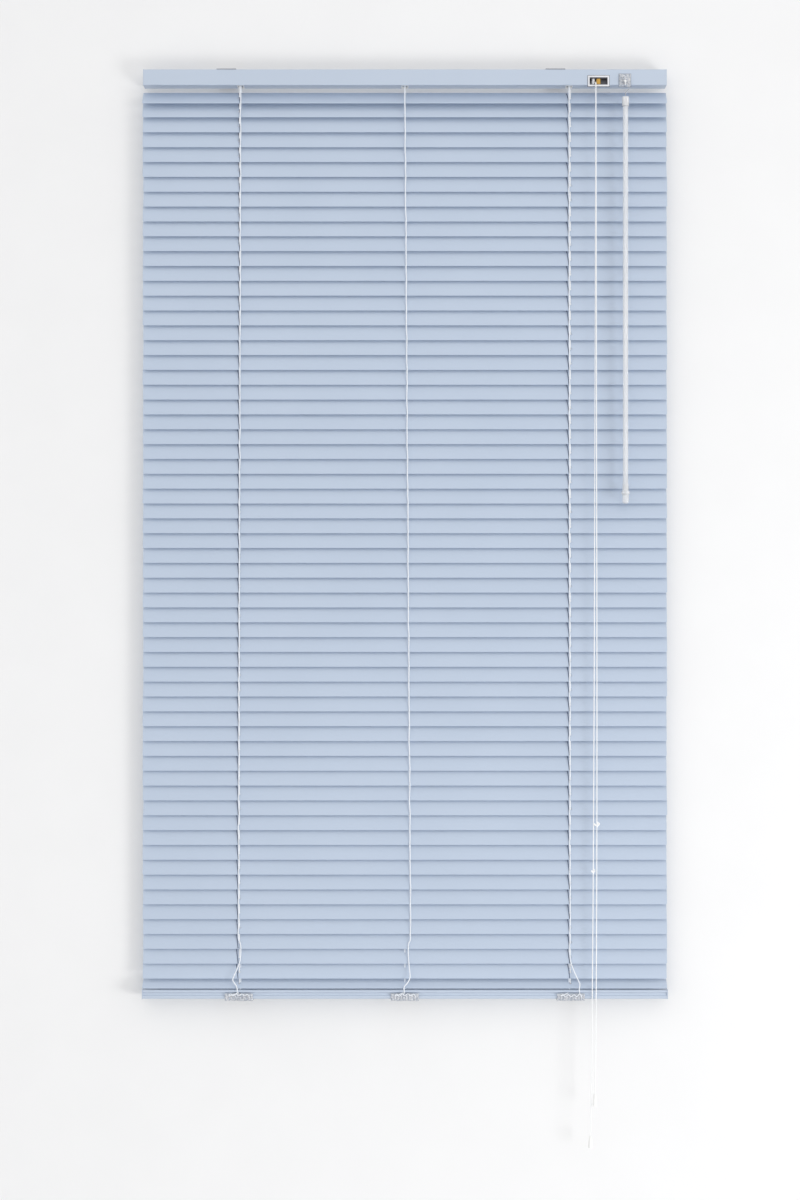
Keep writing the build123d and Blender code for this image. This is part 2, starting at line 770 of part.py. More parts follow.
def lift_cord(slot_x, past_cradle, aside, lane):
    """Held cord: from its knot under the bottom rail, up through the slots and along the rail to the lock."""
    exit_y = front_y + 2 * cord_radius
    points = (
        (slot_x, lift_y, stop_knot_z - stop_knot_length / 2),
        (slot_x, lift_y, lane_z),
        (ladder_xs[2] + past_cradle, lift_y - aside, lane),
        (lock_x - lock_width / 2 - lock_wall, lane_y, lane),
        (lock_cord_x, lane_y, lane),
        (lock_cord_x, exit_y, lane),
    )
    return points


def pull_cord_points(lane, stand, places):
    """Free cord: out of the lock's window, over its sill and straight down."""
    exit_y = front_y + 2 * cord_radius
    hang_y = front_y - stand
    points = [(lock_cord_x, exit_y, lane), (lock_cord_x, hang_y, lane)]
    points += [(lock_cord_x + aside, hang_y, rail_bottom - drop) for aside, drop in places]
    return points


left_places = ((-3.5, 1290.0), (-7.7, pull_cord_left_drop))
right_places = ((2.3, 1270.0), (-1.5, pull_cord_right_drop))
left_pull = pull_cord_points(lane_z, pull_cord_left_stand, left_places)
right_pull = pull_cord_points(high_lane_z, pull_cord_right_stand, right_places)


def along_last_run(points, height):
    """The point at a height on the run of the route that crosses it, and the run's direction."""
    for low, high in zip(points[:0:-1], points[-2::-1]):
        if low[2] <= height <= high[2]:
            share = (height - low[2]) / (high[2] - low[2])
            place = [a + share * (b - a) for a, b in zip(low, high)]
            return Vector(*place), (Vector(*high) - Vector(*low)).normalized()
    raise ValueError("the route doesn't reach that height")


def knot_lump(radius, length):
    """A plump lump, drawn in at both ends, with the cord's bore through it."""
    half = length / 2
    bore = cord_radius + running / 2
    outline = make_face(Polyline((bore, -half), (0.6 * radius, -half), (radius, -half / 3),
                                 (radius, half / 3), (0.6 * radius, half), (bore, half), close=True))
    return revolve(Plane.XZ * outline, Axis.Z)


def cord_knot(points, height):
    """Tied knot on a pull cord."""
    place, direction = along_last_run(points, height)
    return Plane(origin=place, z_dir=direction) * knot_lump(knot_radius, knot_length)


def tassel(points):
    """Moulded bell on the end of a pull cord."""
    end = Vector(*points[-1])
    direction = (Vector(*points[-2]) - end).normalized()
    plane = Plane(origin=end, z_dir=direction)
    low = tassel_bore_depth - tassel_length
    outline = make_face(Polyline((0, low), (0.8 * tassel_bottom_radius, low),
                                 (tassel_bottom_radius, low + 1.5),
                                 (0.75 * tassel_bottom_radius, 0),
                                 (tassel_top_radius, tassel_bore_depth), (0, tassel_bore_depth),
                                 close=True))
    bell = revolve(Plane.XZ * outline, Axis.Z)
    bore = Cylinder(cord_radius + running / 2, tassel_bore_depth + 1, align=(Align.CENTER, Align.CENTER, Align.MIN))
    return plane * (bell - bore)


def bottom_rail_outline(inset):
    """Section of the bottom rail, inset from its outer face: crowned top, recessed sides, lips, flat base."""
    half = rail_depth / 2 - inset
    waist = half - bottom_rail_recess
    low = bottom_z + inset
    high = shoulder_z - inset * 0.6
    lip = bottom_z + bottom_rail_lip - inset
    corner = bottom_rail_corner
    side_points = [(waist, high)]
    if inset == 0:
        side_points = [(half, high), (half, high - bottom_rail_ledge), (waist, high - bottom_rail_ledge)]
    side_points += [(waist, lip + bottom_rail_ledge), (half, lip), (half, low + corner), (half - corner, low)]
    shoulder = side_points[0][0]
    crown_z = high + bottom_rail_crown - inset * 0.4
    crown = ThreePointArc((middle_y - shoulder, high), (middle_y, crown_z), (middle_y + shoulder, high))
    sides = [Polyline(*[(middle_y + side * y, z) for y, z in side_points]) for side in (-1, 1)]
    base = Line((middle_y - half + corner, low), (middle_y + half - corner, low))
    return make_face([crown, *sides, base])


def bottom_cap_outline():
    """Outline of a bottom end cap's plate, which stands proud of the rail's section on all sides."""
    half = rail_depth / 2 + bottom_cap_lip
    low = bottom_z - bottom_cap_lip
    corner = bottom_rail_corner
    crown_z = shoulder_z + bottom_rail_crown + bottom_cap_lip
    crown = ThreePointArc((middle_y - half, shoulder_z), (middle_y, crown_z), (middle_y + half, shoulder_z))
    sides = [
        Polyline((middle_y + side * half, shoulder_z), (middle_y + side * half, low + corner),
                 (middle_y + side * (half - corner), low))
        for side in (-1, 1)
    ]
    base = Line((middle_y - half + corner, low), (middle_y + half - corner, low))
    return make_face([crown, *sides, base])


def clip_places():
    """The plug of each rail clip: beside the lift cord on the outer ladders, centred on the middle one."""
    return ((left_slot_x, lift_y), (ladder_xs[1], middle_y), (right_slot_x, lift_y))


def bottom_rail():
    """Roll-formed tube with an open seam beneath, plug holes for the clips and holes for the lift cords."""
    section = bottom_rail_outline(0) - bottom_rail_outline(bottom_rail_sheet)
    rail = profile_x(section, about(blind_offset, bottom_rail_length / 2))
    seam_z = about(bottom_z, 2 * bottom_rail_sheet)
    rail -= block(about(blind_offset, bottom_rail_length), about(middle_y, bottom_rail_seam / 2), seam_z)
    for x, y in clip_places():
        rail -= bar_z(x, y, seam_z, clip_plug_radius + slip)
    for x in (left_slot_x, right_slot_x):
        rail -= bar_z(x, lift_y, (shoulder_z, shoulder_z + 2 * bottom_rail_crown), lift_hole_radius)
    return rail


def bottom_end_cap(side):
    """Moulded cap on an end of the bottom rail."""
    end = blind_offset + side * bottom_rail_length / 2
    outer = sorted((end, end + side * bottom_cap_plate))
    inner = sorted((end, end - side * bottom_cap_plug))
    cap = profile_x(bottom_cap_outline(), outer)
    fit = bottom_rail_sheet + slip
    plug_y = rail_depth / 2 - bottom_rail_recess - fit
    plug_z = (bottom_z + fit, shoulder_z - fit)
    plug = block(inner, about(middle_y, plug_y), plug_z)
    hollow_z = (plug_z[0] + bottom_cap_plate, plug_z[1] - bottom_cap_plate)
    return cap + (plug - block(inner, about(middle_y, plug_y - bottom_cap_plate), hollow_z))


def ladder_tails(x):
    """The ladder's two cord ends, tucked round the bottom rail and under its clip."""
    side_gap = rail_depth / 2 + seat + ladder_braid / 2
    start = cord_stand_off(last_tilt)
    under_z = bottom_z - seat - ladder_braid / 2
    inner = clip_plug_radius + 2 * seat + slat_crown
    faces = Sketch()
    for side in (-1, 1):
        path = Polyline(
            (middle_y + side * start, ladder_end_z),
            (middle_y + side * start, ladder_end_z - ladder_braid / 2),
            (middle_y + side * side_gap, shoulder_z),
            (middle_y + side * side_gap, under_z),
            (middle_y + side * inner, under_z),
        )
        faces += trace(path, ladder_braid)
    return profile_x(faces, about(x, ladder_braid / 2))


def rail_clip(x, plug_y):
    """Clear snap-on clip under the bottom rail, with notched sides and a hollow plug."""
    top = bottom_z - seat - ladder_braid - seat
    inner = rail_depth / 2 + seat + ladder_braid + slip
    along = about(x, clip_length / 2)
    clip = block(along, about(middle_y, inner + clip_wall), (top - clip_wall, top))
    for side in (-1, 1):
        near = middle_y + side * inner
        wall_y = sorted((near, near + side * clip_wall))
        clip += block(along, wall_y, (top, bottom_z + clip_side))
    notch = clip_length / 8
    for offset_x in (-2.2 * notch, 0, 2.2 * notch):
        notch_z = (bottom_z + clip_side / 2, bottom_z + clip_side + 1)
        clip -= block(about(x + offset_x, notch / 2), about(middle_y, rail_depth), notch_z)
    clip += bar_z(x, plug_y, (top, bottom_z + clip_plug_height), clip_plug_radius)
    bore = clip_plug_radius - clip_plug_wall
    return clip - bar_z(x, plug_y, (top, bottom_z + clip_plug_height + 1), bore)


def stop_knot(x):
    """Knot that holds a lift cord in its clip's plug."""
    return Pos(x, lift_y, stop_knot_z) * knot_lump(stop_knot_radius, stop_knot_length)


guide_limit = 3.0
half_spacing = bracket_spacing / 2
left_lift = lift_cord(left_slot_x, 8.0, 2.2, lane_z)
right_lift = lift_cord(right_slot_x, 11.9, 0.4, high_lane_z)

parts = {
    "head_rail": head_rail(),
    "rail_end_cap_left": rail_end_cap(-1),
    "rail_end_cap_right": rail_end_cap(1),
    "wall_bracket_left": wall_bracket(-half_spacing),
    "wall_bracket_right": wall_bracket(half_spacing),
    "lever_rivets": Compound([lever_rivet(-half_spacing), lever_rivet(half_spacing)]),
    "bracket_lever_left": bracket_lever(-half_spacing),
    "bracket_lever_right": bracket_lever(half_spacing),
    "tilt_rod": tilt_rod(),
    "worm_gear": worm_gear(),
    "worm_shaft": worm_shaft(),
    "tilter_housing": tilter_housing(),
    "wand_hook": wand_hook(),
    "wand_sleeve": wand_sleeve(),
    "wand": wand(),
    "wand_grip": wand_grip(),
    "cord_lock_housing": cord_lock_housing(),
    "guide_pin": guide_pin(),
    "guide_roller": guide_roller(),
    "lock_pin": lock_pin(),
    "lock_roller": lock_roller(),
    "slats_on_ladders": slats_on_ladders(),
    "lift_cord_left": cord_tube("lift_cord_left", left_lift, guide_limit),
    "lift_cord_right": cord_tube("lift_cord_right", right_lift, guide_limit),
    "pull_cord_left": cord_tube("pull_cord_left", left_pull),
    "pull_cord_right": cord_tube("pull_cord_right", right_pull),
    "cord_knot_left": cord_knot(left_pull, -1135.0),
    "cord_knot_right": cord_knot(right_pull, -1068.0),
    "tassel_left": tassel(left_pull),
    "tassel_right": tassel(right_pull),
    "bottom_rail": bottom_rail(),
    "bottom_end_cap_left": bottom_end_cap(-1),
    "bottom_end_cap_right": bottom_end_cap(1),
    "stop_knot_left": stop_knot(left_slot_x),
    "stop_knot_right": stop_knot(right_slot_x),
}

for side_name, ladder_x, (plug_x, plug_y) in zip(("left", "middle", "right"), ladder_xs, clip_places()):
    parts["cradle_" + side_name] = cradle(ladder_x)
    parts["drum_" + side_name] = drum(ladder_x)
    parts["ladder_tails_" + side_name] = ladder_tails(ladder_x)
    parts["rail_clip_" + side_name] = rail_clip(plug_x, plug_y)

for name, part in parts.items():
    export_step(part, "parts/" + name + ".step")
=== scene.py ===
import math
import random
import bpy
from mathutils import Matrix, Vector


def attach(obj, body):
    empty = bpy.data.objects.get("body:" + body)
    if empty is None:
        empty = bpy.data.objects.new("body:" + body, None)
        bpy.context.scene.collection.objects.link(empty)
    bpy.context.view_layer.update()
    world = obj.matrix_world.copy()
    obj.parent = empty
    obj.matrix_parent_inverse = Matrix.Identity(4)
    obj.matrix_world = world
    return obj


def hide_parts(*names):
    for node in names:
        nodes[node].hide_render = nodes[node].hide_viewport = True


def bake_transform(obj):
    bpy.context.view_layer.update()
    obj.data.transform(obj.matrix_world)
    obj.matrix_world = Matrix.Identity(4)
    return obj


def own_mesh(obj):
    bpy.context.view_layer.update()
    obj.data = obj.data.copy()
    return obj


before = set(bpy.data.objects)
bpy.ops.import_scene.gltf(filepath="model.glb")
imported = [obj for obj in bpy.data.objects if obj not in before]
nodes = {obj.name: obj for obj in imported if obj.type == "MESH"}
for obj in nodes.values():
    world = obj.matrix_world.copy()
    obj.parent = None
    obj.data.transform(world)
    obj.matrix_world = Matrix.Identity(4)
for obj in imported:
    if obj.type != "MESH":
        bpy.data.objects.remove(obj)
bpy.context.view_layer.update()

scene = bpy.context.scene

# Camera: level, 3.3 m in front of the blind, in the photo's upright format. Lengths below are in
# millimetres, and MM turns them into metres.
MM = 0.001
MIDDLE_Y = -18.5
CAMERA_DISTANCE = 3300.0
PIXEL_MM = 1.4327
PHOTO_HEIGHT = 1200
PHOTO_X = 13.0
PHOTO_Z = -748.0
bpy.ops.object.camera_add(location=(PHOTO_X * MM, (MIDDLE_Y - CAMERA_DISTANCE) * MM, PHOTO_Z * MM),
                          rotation=(math.radians(90), 0, 0))
camera = bpy.context.object
camera.data.sensor_fit = "VERTICAL"
camera.data.sensor_height = 36.0
camera.data.lens = CAMERA_DISTANCE / PIXEL_MM / PHOTO_HEIGHT * 36.0
camera.data.clip_start = 0.05
scene.camera = camera

# Free pull cords: two braided polyester cords that leave the lock's window over its sill and hang
# straight down under their tassels' weight. Each is one smooth curve from the lock to its tassel.
CORD_RADIUS = 0.7
LOCK_CORD_X = 292.3
SILL_Y = -29.6
ROUTES = {
    "left": ((LOCK_CORD_X, SILL_Y, -10.6), (LOCK_CORD_X, -33.5, -10.6), (LOCK_CORD_X, -33.5, -19.0),
             (288.8, -33.5, -1303.0), (284.6, -33.5, -1519.0)),
    "right": ((LOCK_CORD_X, SILL_Y, -9.0), (LOCK_CORD_X, -35.2, -9.0), (LOCK_CORD_X, -35.2, -17.4),
              (294.6, -35.2, -1283.0), (290.8, -35.2, -1459.0)),
}


def speckle_group():
    """Shared drift of colour and a fine grain: Broad is a soft mask, Fine a small one."""
    group = bpy.data.node_groups.new("speckle", "ShaderNodeTree")
    for name, value in (("Broad Scale", 9.0), ("Fine Scale", 900.0)):
        socket = group.interface.new_socket(name, in_out="INPUT", socket_type="NodeSocketFloat")
        socket.default_value = value
    for name in ("Broad", "Fine"):
        group.interface.new_socket(name, in_out="OUTPUT", socket_type="NodeSocketFloat")
    given = group.nodes.new("NodeGroupInput")
    out = group.nodes.new("NodeGroupOutput")
    coord = group.nodes.new("ShaderNodeTexCoord")
    for name, detail in (("Broad", 3.0), ("Fine", 2.0)):
        noise = group.nodes.new("ShaderNodeTexNoise")
        noise.inputs["Detail"].default_value = detail
        group.links.new(coord.outputs["Object"], noise.inputs["Vector"])
        group.links.new(given.outputs[name + " Scale"], noise.inputs["Scale"])
        group.links.new(noise.outputs["Fac"], out.inputs[name])
    return group


def strand_group():
    """Shared braid: slanting strands that cross along a cord, as a height that also darkens the grooves as
    painted shade.
    """
    group = bpy.data.node_groups.new("strands", "ShaderNodeTree")
    socket = group.interface.new_socket("Strands", in_out="INPUT", socket_type="NodeSocketFloat")
    socket.default_value = 900.0
    group.interface.new_socket("Height", in_out="OUTPUT", socket_type="NodeSocketFloat")
    given = group.nodes.new("NodeGroupInput")
    out = group.nodes.new("NodeGroupOutput")
    coord = group.nodes.new("ShaderNodeTexCoord")
    waves = []
    for slant in (-1, 1):
        turn = group.nodes.new("ShaderNodeMapping")
        turn.inputs["Rotation"].default_value = (0, math.radians(35 * slant), 0)
        wave = group.nodes.new("ShaderNodeTexWave")
        wave.bands_direction = "Z"
        group.links.new(coord.outputs["Object"], turn.inputs["Vector"])
        group.links.new(turn.outputs["Vector"], wave.inputs["Vector"])
        group.links.new(given.outputs["Strands"], wave.inputs["Scale"])
        waves.append(wave)
    top = group.nodes.new("ShaderNodeMath")
    top.operation = "MAXIMUM"
    group.links.new(waves[0].outputs["Fac"], top.inputs[0])
    group.links.new(waves[1].outputs["Fac"], top.inputs[1])
    group.links.new(top.outputs[0], out.inputs["Height"])
    return group


speckle = speckle_group()
strands = strand_group()


def finish(name, color, dark, rough, bump=0.05, grain=900.0, braided=None, broad=9.0, **plain):
    """Principled material whose colour, roughness and surface drift; plain sets sockets directly."""
    made = bpy.data.materials.new(name)
    made.use_nodes = True
    tree = made.node_tree
    shader = tree.nodes["Principled BSDF"]
    marks = tree.nodes.new("ShaderNodeGroup")
    marks.node_tree = speckle
    marks.inputs["Fine Scale"].default_value = grain
    marks.inputs["Broad Scale"].default_value = broad
    height = marks.outputs["Fine"]
    mask = marks.outputs["Broad"]
    # With a braid, its height also sets the colour: darker in the grooves between strands, as painted
    # shade.
    if braided:
        weave = tree.nodes.new("ShaderNodeGroup")
        weave.node_tree = strands
        weave.inputs["Strands"].default_value = braided
        height = weave.outputs["Height"]
        mask = height
    spread = tree.nodes.new("ShaderNodeMapRange")
    spread.inputs["From Min"].default_value = 0.0 if braided else 0.35
    spread.inputs["From Max"].default_value = 0.9 if braided else 0.62
    tree.links.new(mask, spread.inputs["Value"])
    mix = tree.nodes.new("ShaderNodeMix")
    mix.data_type = "RGBA"
    mix.inputs[6].default_value = (*dark, 1)
    mix.inputs[7].default_value = (*color, 1)
    tree.links.new(spread.outputs["Result"], mix.inputs[0])
    tree.links.new(mix.outputs[2], shader.inputs["Base Color"])
    gloss = tree.nodes.new("ShaderNodeMapRange")
    gloss.inputs["To Min"].default_value = max(0.02, rough - 0.06)
    gloss.inputs["To Max"].default_value = rough + 0.06
    tree.links.new(marks.outputs["Fine"], gloss.inputs["Value"])
    tree.links.new(gloss.outputs["Result"], shader.inputs["Roughness"])
    relief = tree.nodes.new("ShaderNodeBump")
    relief.inputs["Strength"].default_value = bump
    relief.inputs["Distance"].default_value = 0.0002
    tree.links.new(height, relief.inputs["Height"])
    tree.links.new(relief.outputs["Normal"], shader.inputs["Normal"])
    for socket, value in plain.items():
        shader.inputs[socket.replace("_", " ")].default_value = value
    return made


def settle(obj, name, mat, body=None, replaces=()):
    """Name, material, body and the nodes that a piece stands for."""
    obj.name = name
    obj.data.name = name
    obj.data.materials.clear()
    obj.data.materials.append(mat)
    if body:
        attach(obj, body)
    if replaces:
        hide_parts(*replaces)
    return obj


def spline_object(name, lines, radius, sides=3, cuts=12):
    """Round cords along open lines of millimetre points, as one mesh; radius 0 gives bare lines."""
    curve = bpy.data.curves.new(name + "_line", "CURVE")
    curve.dimensions = "3D"
    for line in lines:
        spline = curve.splines.new("NURBS" if len(line) > 2 else "POLY")
        spline.points.add(len(line) - 1)
        for point, spot in zip(spline.points, line):
            point.co = (*(c * MM for c in spot), 1.0)
        if spline.type == "NURBS":
            spline.order_u = 3
            spline.use_endpoint_u = True
            spline.resolution_u = cuts
    curve.bevel_depth = radius * MM
    curve.bevel_resolution = sides
    curve.use_fill_caps = radius > 0
    drawn = bpy.data.objects.new(name + "_line", curve)
    scene.collection.objects.link(drawn)
    mesh = bpy.data.meshes.new_from_object(drawn)
    bpy.data.objects.remove(drawn)
    obj = bpy.data.objects.new(name, mesh)
    scene.collection.objects.link(obj)
    if radius > 0:
        mesh.shade_smooth()
    return obj


# Its braid is darker in the grooves between strands: painted shade.
cord_braid = finish("cord_braid", (0.97, 0.975, 0.98), (0.86, 0.87, 0.89), 0.75, bump=0.35,
                    braided=600.0, Sheen_Weight=0.3)
cord_lines = {}
for side, route in ROUTES.items():
    line = spline_object("pull_cord_path_" + side, [route], 0.0, cuts=48)
    cord_lines[side] = [v.co / MM for v in line.data.vertices]
    bpy.data.objects.remove(line)
    cord = spline_object("pull_cord_" + side, [route], CORD_RADIUS, cuts=48)
    settle(cord, "pull_cord_" + side, cord_braid, None, ("pull_cord_" + side,))
    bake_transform(cord)

# Tassels: white moulded bells with a turned neck and a hollow mouth, pushed over the cord's end knot.
# Each hangs in line with the last stretch of its cord.
white_plastic = finish("white_plastic", (0.90, 0.90, 0.89), (0.86, 0.86, 0.85), 0.3, bump=0.02,
                       Coat_Weight=0.3, Coat_Roughness=0.12)
TURN_STEPS = 28


def turned(name, profile, origin, axis):
    """A closed turned shape: profile is (radius, height) pairs in millimetres along axis from origin."""
    bpy.ops.object.select_all(action="DESELECT")
    mesh = bpy.data.meshes.new(name)
    count = len(profile)
    mesh.from_pydata([(r * MM, 0, z * MM) for r, z in profile],
                     [(i, i + 1) for i in range(count - 1)], [])
    obj = bpy.data.objects.new(name, mesh)
    scene.collection.objects.link(obj)
    bpy.context.view_layer.objects.active = obj
    obj.select_set(True)
    bpy.ops.object.mode_set(mode="EDIT")
    bpy.ops.mesh.select_all(action="SELECT")
    bpy.ops.mesh.spin(steps=TURN_STEPS, angle=2 * math.pi, center=(0, 0, 0), axis=(0, 0, 1))
    bpy.ops.mesh.select_all(action="SELECT")
    bpy.ops.mesh.remove_doubles(threshold=1e-6)
    bpy.ops.mesh.normals_make_consistent(inside=False)
    bpy.ops.object.mode_set(mode="OBJECT")
    turn = Vector(axis).to_track_quat("Z", "Y").to_matrix().to_4x4()
    obj.data.transform(Matrix.Translation(Vector(origin) * MM) @ turn)
    bpy.ops.object.shade_smooth_by_angle(angle=math.radians(38))
    obj.select_set(False)
    return obj


hung = {side: [] for side in ROUTES}
BELL = ((0.0, 0.6), (0.8, 0.6), (1.6, -6.0), (2.5, -9.6), (2.9, -10.0), (3.3, -9.5), (3.3, -8.6),
        (2.9, -5.0), (2.45, 0.0), (2.05, 4.2), (2.1, 5.0), (1.75, 5.8), (1.7, 6.7), (1.2, 7.0), (0.0, 7.0))
for side, route in ROUTES.items():
    end = Vector(route[-1])
    bell = turned("tassel_" + side, BELL, end, Vector(route[-2]) - end)
    settle(bell, "tassel_" + side, white_plastic, "tassel_" + side, ("tassel_" + side,))
    hung[side].append(bell)

# Cord knots: each braided pull cord is tied once in itself above its tassel. The loops stand out to both
# sides, wider on the right cord.
KNOT_RADIUS = 0.7
KNOT_HEIGHTS = {"left": -1135.0, "right": -1068.0}
KNOT_SPREAD = {"left": 0.75, "right": 1.2}
KNOT_TURNS = ((0.0, 0.0, 4.2), (1.4, -0.6, 2.6), (3.4, -0.4, 1.2), (3.0, 0.9, -0.8), (0.4, 1.3, -1.2),
              (-1.8, 0.4, 0.4), (-3.3, -0.7, 1.3), (-3.0, -1.1, -0.9), (-0.6, -1.3, -1.5), (1.2, 0.2, 1.9),
              (2.2, 1.0, 0.2), (1.2, 0.6, -2.2), (0.0, 0.0, -4.2))


def line_at(line, height):
    """The point of a cord's line at a height."""
    for high, low in zip(line, line[1:]):
        if low.z <= height <= high.z:
            return low.lerp(high, (height - low.z) / (high.z - low.z))
    return line[-1]


for side, height in KNOT_HEIGHTS.items():
    spot = line_at(cord_lines[side], height)
    wide = KNOT_SPREAD[side]
    turns = [(spot.x + x * wide, spot.y + y, spot.z + z) for x, y, z in KNOT_TURNS]
    knot = spline_object("cord_knot_" + side, [turns], KNOT_RADIUS, cuts=6)
    settle(knot, "cord_knot_" + side, cord_braid, "tassel_" + side, ("cord_knot_" + side,))
    hung[side].append(knot)

# Slats: 61 strips of lacquered aluminium, rolled to a shallow crown, with rounded corners and two
# punched slots for the lift cords. The drums hold the top ones open, and the lowest lies on its rung.
BLIND_X = 20.0
LIFT_X = (-216.9, 256.9)
SLAT_COUNT = 61
SLAT_CROWN = 1.3
SLAT_SHEET = 0.2
SLAT_BOW = 0.25
SLAT_LEAN = 0.6
SLAT_SHIFT = 0.5
EDGE_CURL = 0.12
SLAT_HALF = 375.0
HALF_CHORD = 12.5
SLOT_HALF = 5.0
SLOT_RADIUS = 1.75
CORNER_CUT = 0.85
CURL_FROM = 12.0
SLOT_COLUMNS = (2.6, 7.0)
CORNER_ROW = 11.6
PITCH = 21.25
FIRST_PITCH = 19.3
LAST_PITCH = 12.8
CLOSED_TILT = 75.0
LAST_TILT = 32.0
FIRST_EDGE = -38.05
TOP_TILTS = (48.0, 66.0, 72.0)
TILTS = [math.radians(a) for a in (*TOP_TILTS, *[CLOSED_TILT] * (SLAT_COUNT - 4), LAST_TILT)]
EDGES = [FIRST_EDGE, FIRST_EDGE - FIRST_PITCH]
while len(EDGES) < SLAT_COUNT - 1:
    EDGES.append(EDGES[-1] - PITCH)
EDGES.append(EDGES[-1] - LAST_PITCH)
HEIGHTS = [edge + HALF_CHORD * math.sin(angle) for edge, angle in zip(EDGES, TILTS)]
enamel = finish("slat_enamel", (0.485, 0.565, 0.69), (0.475, 0.555, 0.68), 0.36, bump=0.015,
                Coat_Weight=0.2, Coat_Roughness=0.2)


def only(obj):
    """Deselects all, and makes obj the active, selected object."""
    bpy.ops.object.select_all(action="DESELECT")
    bpy.context.view_layer.objects.active = obj
    obj.select_set(True)
    return obj


def apply_modifier(obj, kind, **values):
    """Adds a modifier with its values and applies it."""
    modifier = obj.modifiers.new(kind.lower(), kind)
    for name, value in values.items():
        setattr(modifier, name, value)
    only(obj)
    bpy.ops.object.modifier_apply(modifier=modifier.name)


def flat_strip():
    """Grid of the slat's outline, cut through at the columns that bound the slots and the corners."""
    bpy.ops.object.select_all(action="DESELECT")
    bpy.ops.mesh.primitive_grid_add(x_subdivisions=24, y_subdivisions=12, size=1.0)
    strip = bpy.context.object
    bpy.ops.object.mode_set(mode="EDIT")
    bpy.ops.transform.resize(value=(2 * SLAT_HALF * MM, 2 * HALF_CHORD * MM, 1))
    columns = [slot_x - BLIND_X + side * reach
               for slot_x in LIFT_X for side in (-1, 1) for reach in SLOT_COLUMNS]
    for x in columns:
        bpy.ops.mesh.select_all(action="SELECT")
        bpy.ops.mesh.bisect(plane_co=(x * MM, 0, 0), plane_no=(1, 0, 0))
    for y in (-CORNER_ROW, CORNER_ROW):
        bpy.ops.mesh.select_all(action="SELECT")
        bpy.ops.mesh.bisect(plane_co=(0, y * MM, 0), plane_no=(0, 1, 0))
    bpy.ops.mesh.select_all(action="DESELECT")
    bpy.ops.object.mode_set(mode="OBJECT")
    for v in strip.data.vertices:
        at_end = abs(abs(v.co.x) - SLAT_HALF * MM) < 1e-6
        v.select = at_end and abs(abs(v.co.y) - HALF_CHORD * MM) < 1e-6
    bpy.ops.object.mode_set(mode="EDIT")
    bpy.ops.mesh.select_mode(type="VERT")
    bpy.ops.mesh.bevel(offset=CORNER_CUT * MM, affect="VERTICES", segments=1)
    bpy.ops.object.mode_set(mode="OBJECT")
    return strip


def slot_punch(x):
    """Stadium-shaped punch through a strip's slot."""
    bpy.ops.object.select_all(action="DESELECT")
    bpy.ops.mesh.primitive_cylinder_add(vertices=20, radius=SLOT_RADIUS * MM, depth=12 * MM,
                                        location=((x - BLIND_X) * MM, 0, 0))
    punch = bpy.context.object
    bpy.ops.object.transform_apply(location=True)
    for side in (-1, 1):
        for v in punch.data.vertices:
            v.select = side * v.co.y > 1e-5
        bpy.ops.object.mode_set(mode="EDIT")
        bpy.ops.transform.translate(value=(0, side * (SLOT_HALF - SLOT_RADIUS) * MM, 0))
        bpy.ops.mesh.select_all(action="DESELECT")
        bpy.ops.object.mode_set(mode="OBJECT")
    return punch


slat_master = flat_strip()
crown_radius = HALF_CHORD**2 / (2 * SLAT_CROWN) + SLAT_CROWN / 2
for v in slat_master.data.vertices:
    across = v.co.y / MM
    v.co.z = (math.sqrt(crown_radius**2 - across**2) - crown_radius + SLAT_CROWN) * MM
    if abs(across) > CURL_FROM:
        v.co.z -= EDGE_CURL * MM
for slot_x in LIFT_X:
    punch = slot_punch(slot_x)
    apply_modifier(slat_master, "BOOLEAN", object=punch, operation="DIFFERENCE", solver="EXACT")
    bpy.data.objects.remove(punch)
apply_modifier(slat_master, "SOLIDIFY", thickness=SLAT_SHEET * MM, offset=-1.0)
only(slat_master)
bpy.ops.object.shade_smooth_by_angle(angle=math.radians(35))


slat_random = random.Random(7)
for index, (height, angle) in enumerate(zip(HEIGHTS, TILTS)):
    slat = slat_master.copy()
    slat.data = slat_master.data.copy()
    scene.collection.objects.link(slat)
    bow = slat_random.uniform(-SLAT_BOW, SLAT_BOW)
    for v in slat.data.vertices:
        v.co.z += bow * MM * (1 - (v.co.x / (SLAT_HALF * MM)) ** 2)
    lean = slat_random.uniform(-SLAT_LEAN, SLAT_LEAN) if 2 < index < SLAT_COUNT - 1 else 0.0
    shift = slat_random.uniform(-SLAT_SHIFT, SLAT_SHIFT)
    place = Matrix.Translation(Vector((BLIND_X + shift, MIDDLE_Y, height)) * MM)
    slat.data.transform(place @ Matrix.Rotation(angle + math.radians(lean), 4, "X"))
    settle(slat, f"slat_{index + 1:02d}", enamel, None)
    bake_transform(slat)
bpy.data.objects.remove(slat_master)

# Ladders: braided cords in front of and behind the slats, with two thin rungs under each slat. They
# hang from the drums above and are tucked under the clips below. On the outer two, a strand over
# each slat is coloured near-black as painted shade, for the dark strokes of shade there.
LADDER_X = (-215.0, 20.0, 255.0)
SIDES = ("left", "middle", "right")
LADDER_TOP = -3.0
LADDER_END = -1303.5
LADDER_RADIUS = 0.85
RUNG_RADIUS = 0.28
RUNG_DEPTH = 0.5
STRAND_RADIUS = 0.5
DRUM_SIDE = 6.5
SNOUT_SIDE = 7.1
SNOUT_Z = -13.4
EDGE_WAVE = 0.75
HOLLOW_WAVE = 0.2
HOLLOW_DROP = 9.0
DRIFT_FROM = -1236.0
LEAN_UNTIL = -1230.0
# Its braid is darker in the grooves between strands: painted shade.
ladder_braid = finish("ladder_braid", (0.88, 0.91, 0.95), (0.70, 0.75, 0.83), 0.8, bump=0.4,
                      braided=700.0, Sheen_Weight=0.2)
# Near-black braid for the strands over the slats: the dark is painted shade.
painted_shade_strand = finish("painted_shade_strand", (0.10, 0.13, 0.21), (0.05, 0.06, 0.11), 0.85, bump=0.3,
                      braided=900.0)


def stand_off(angle):
    """How far a ladder cord's middle lies from the slats' middle."""
    return HALF_CHORD * math.cos(angle) + 0.9


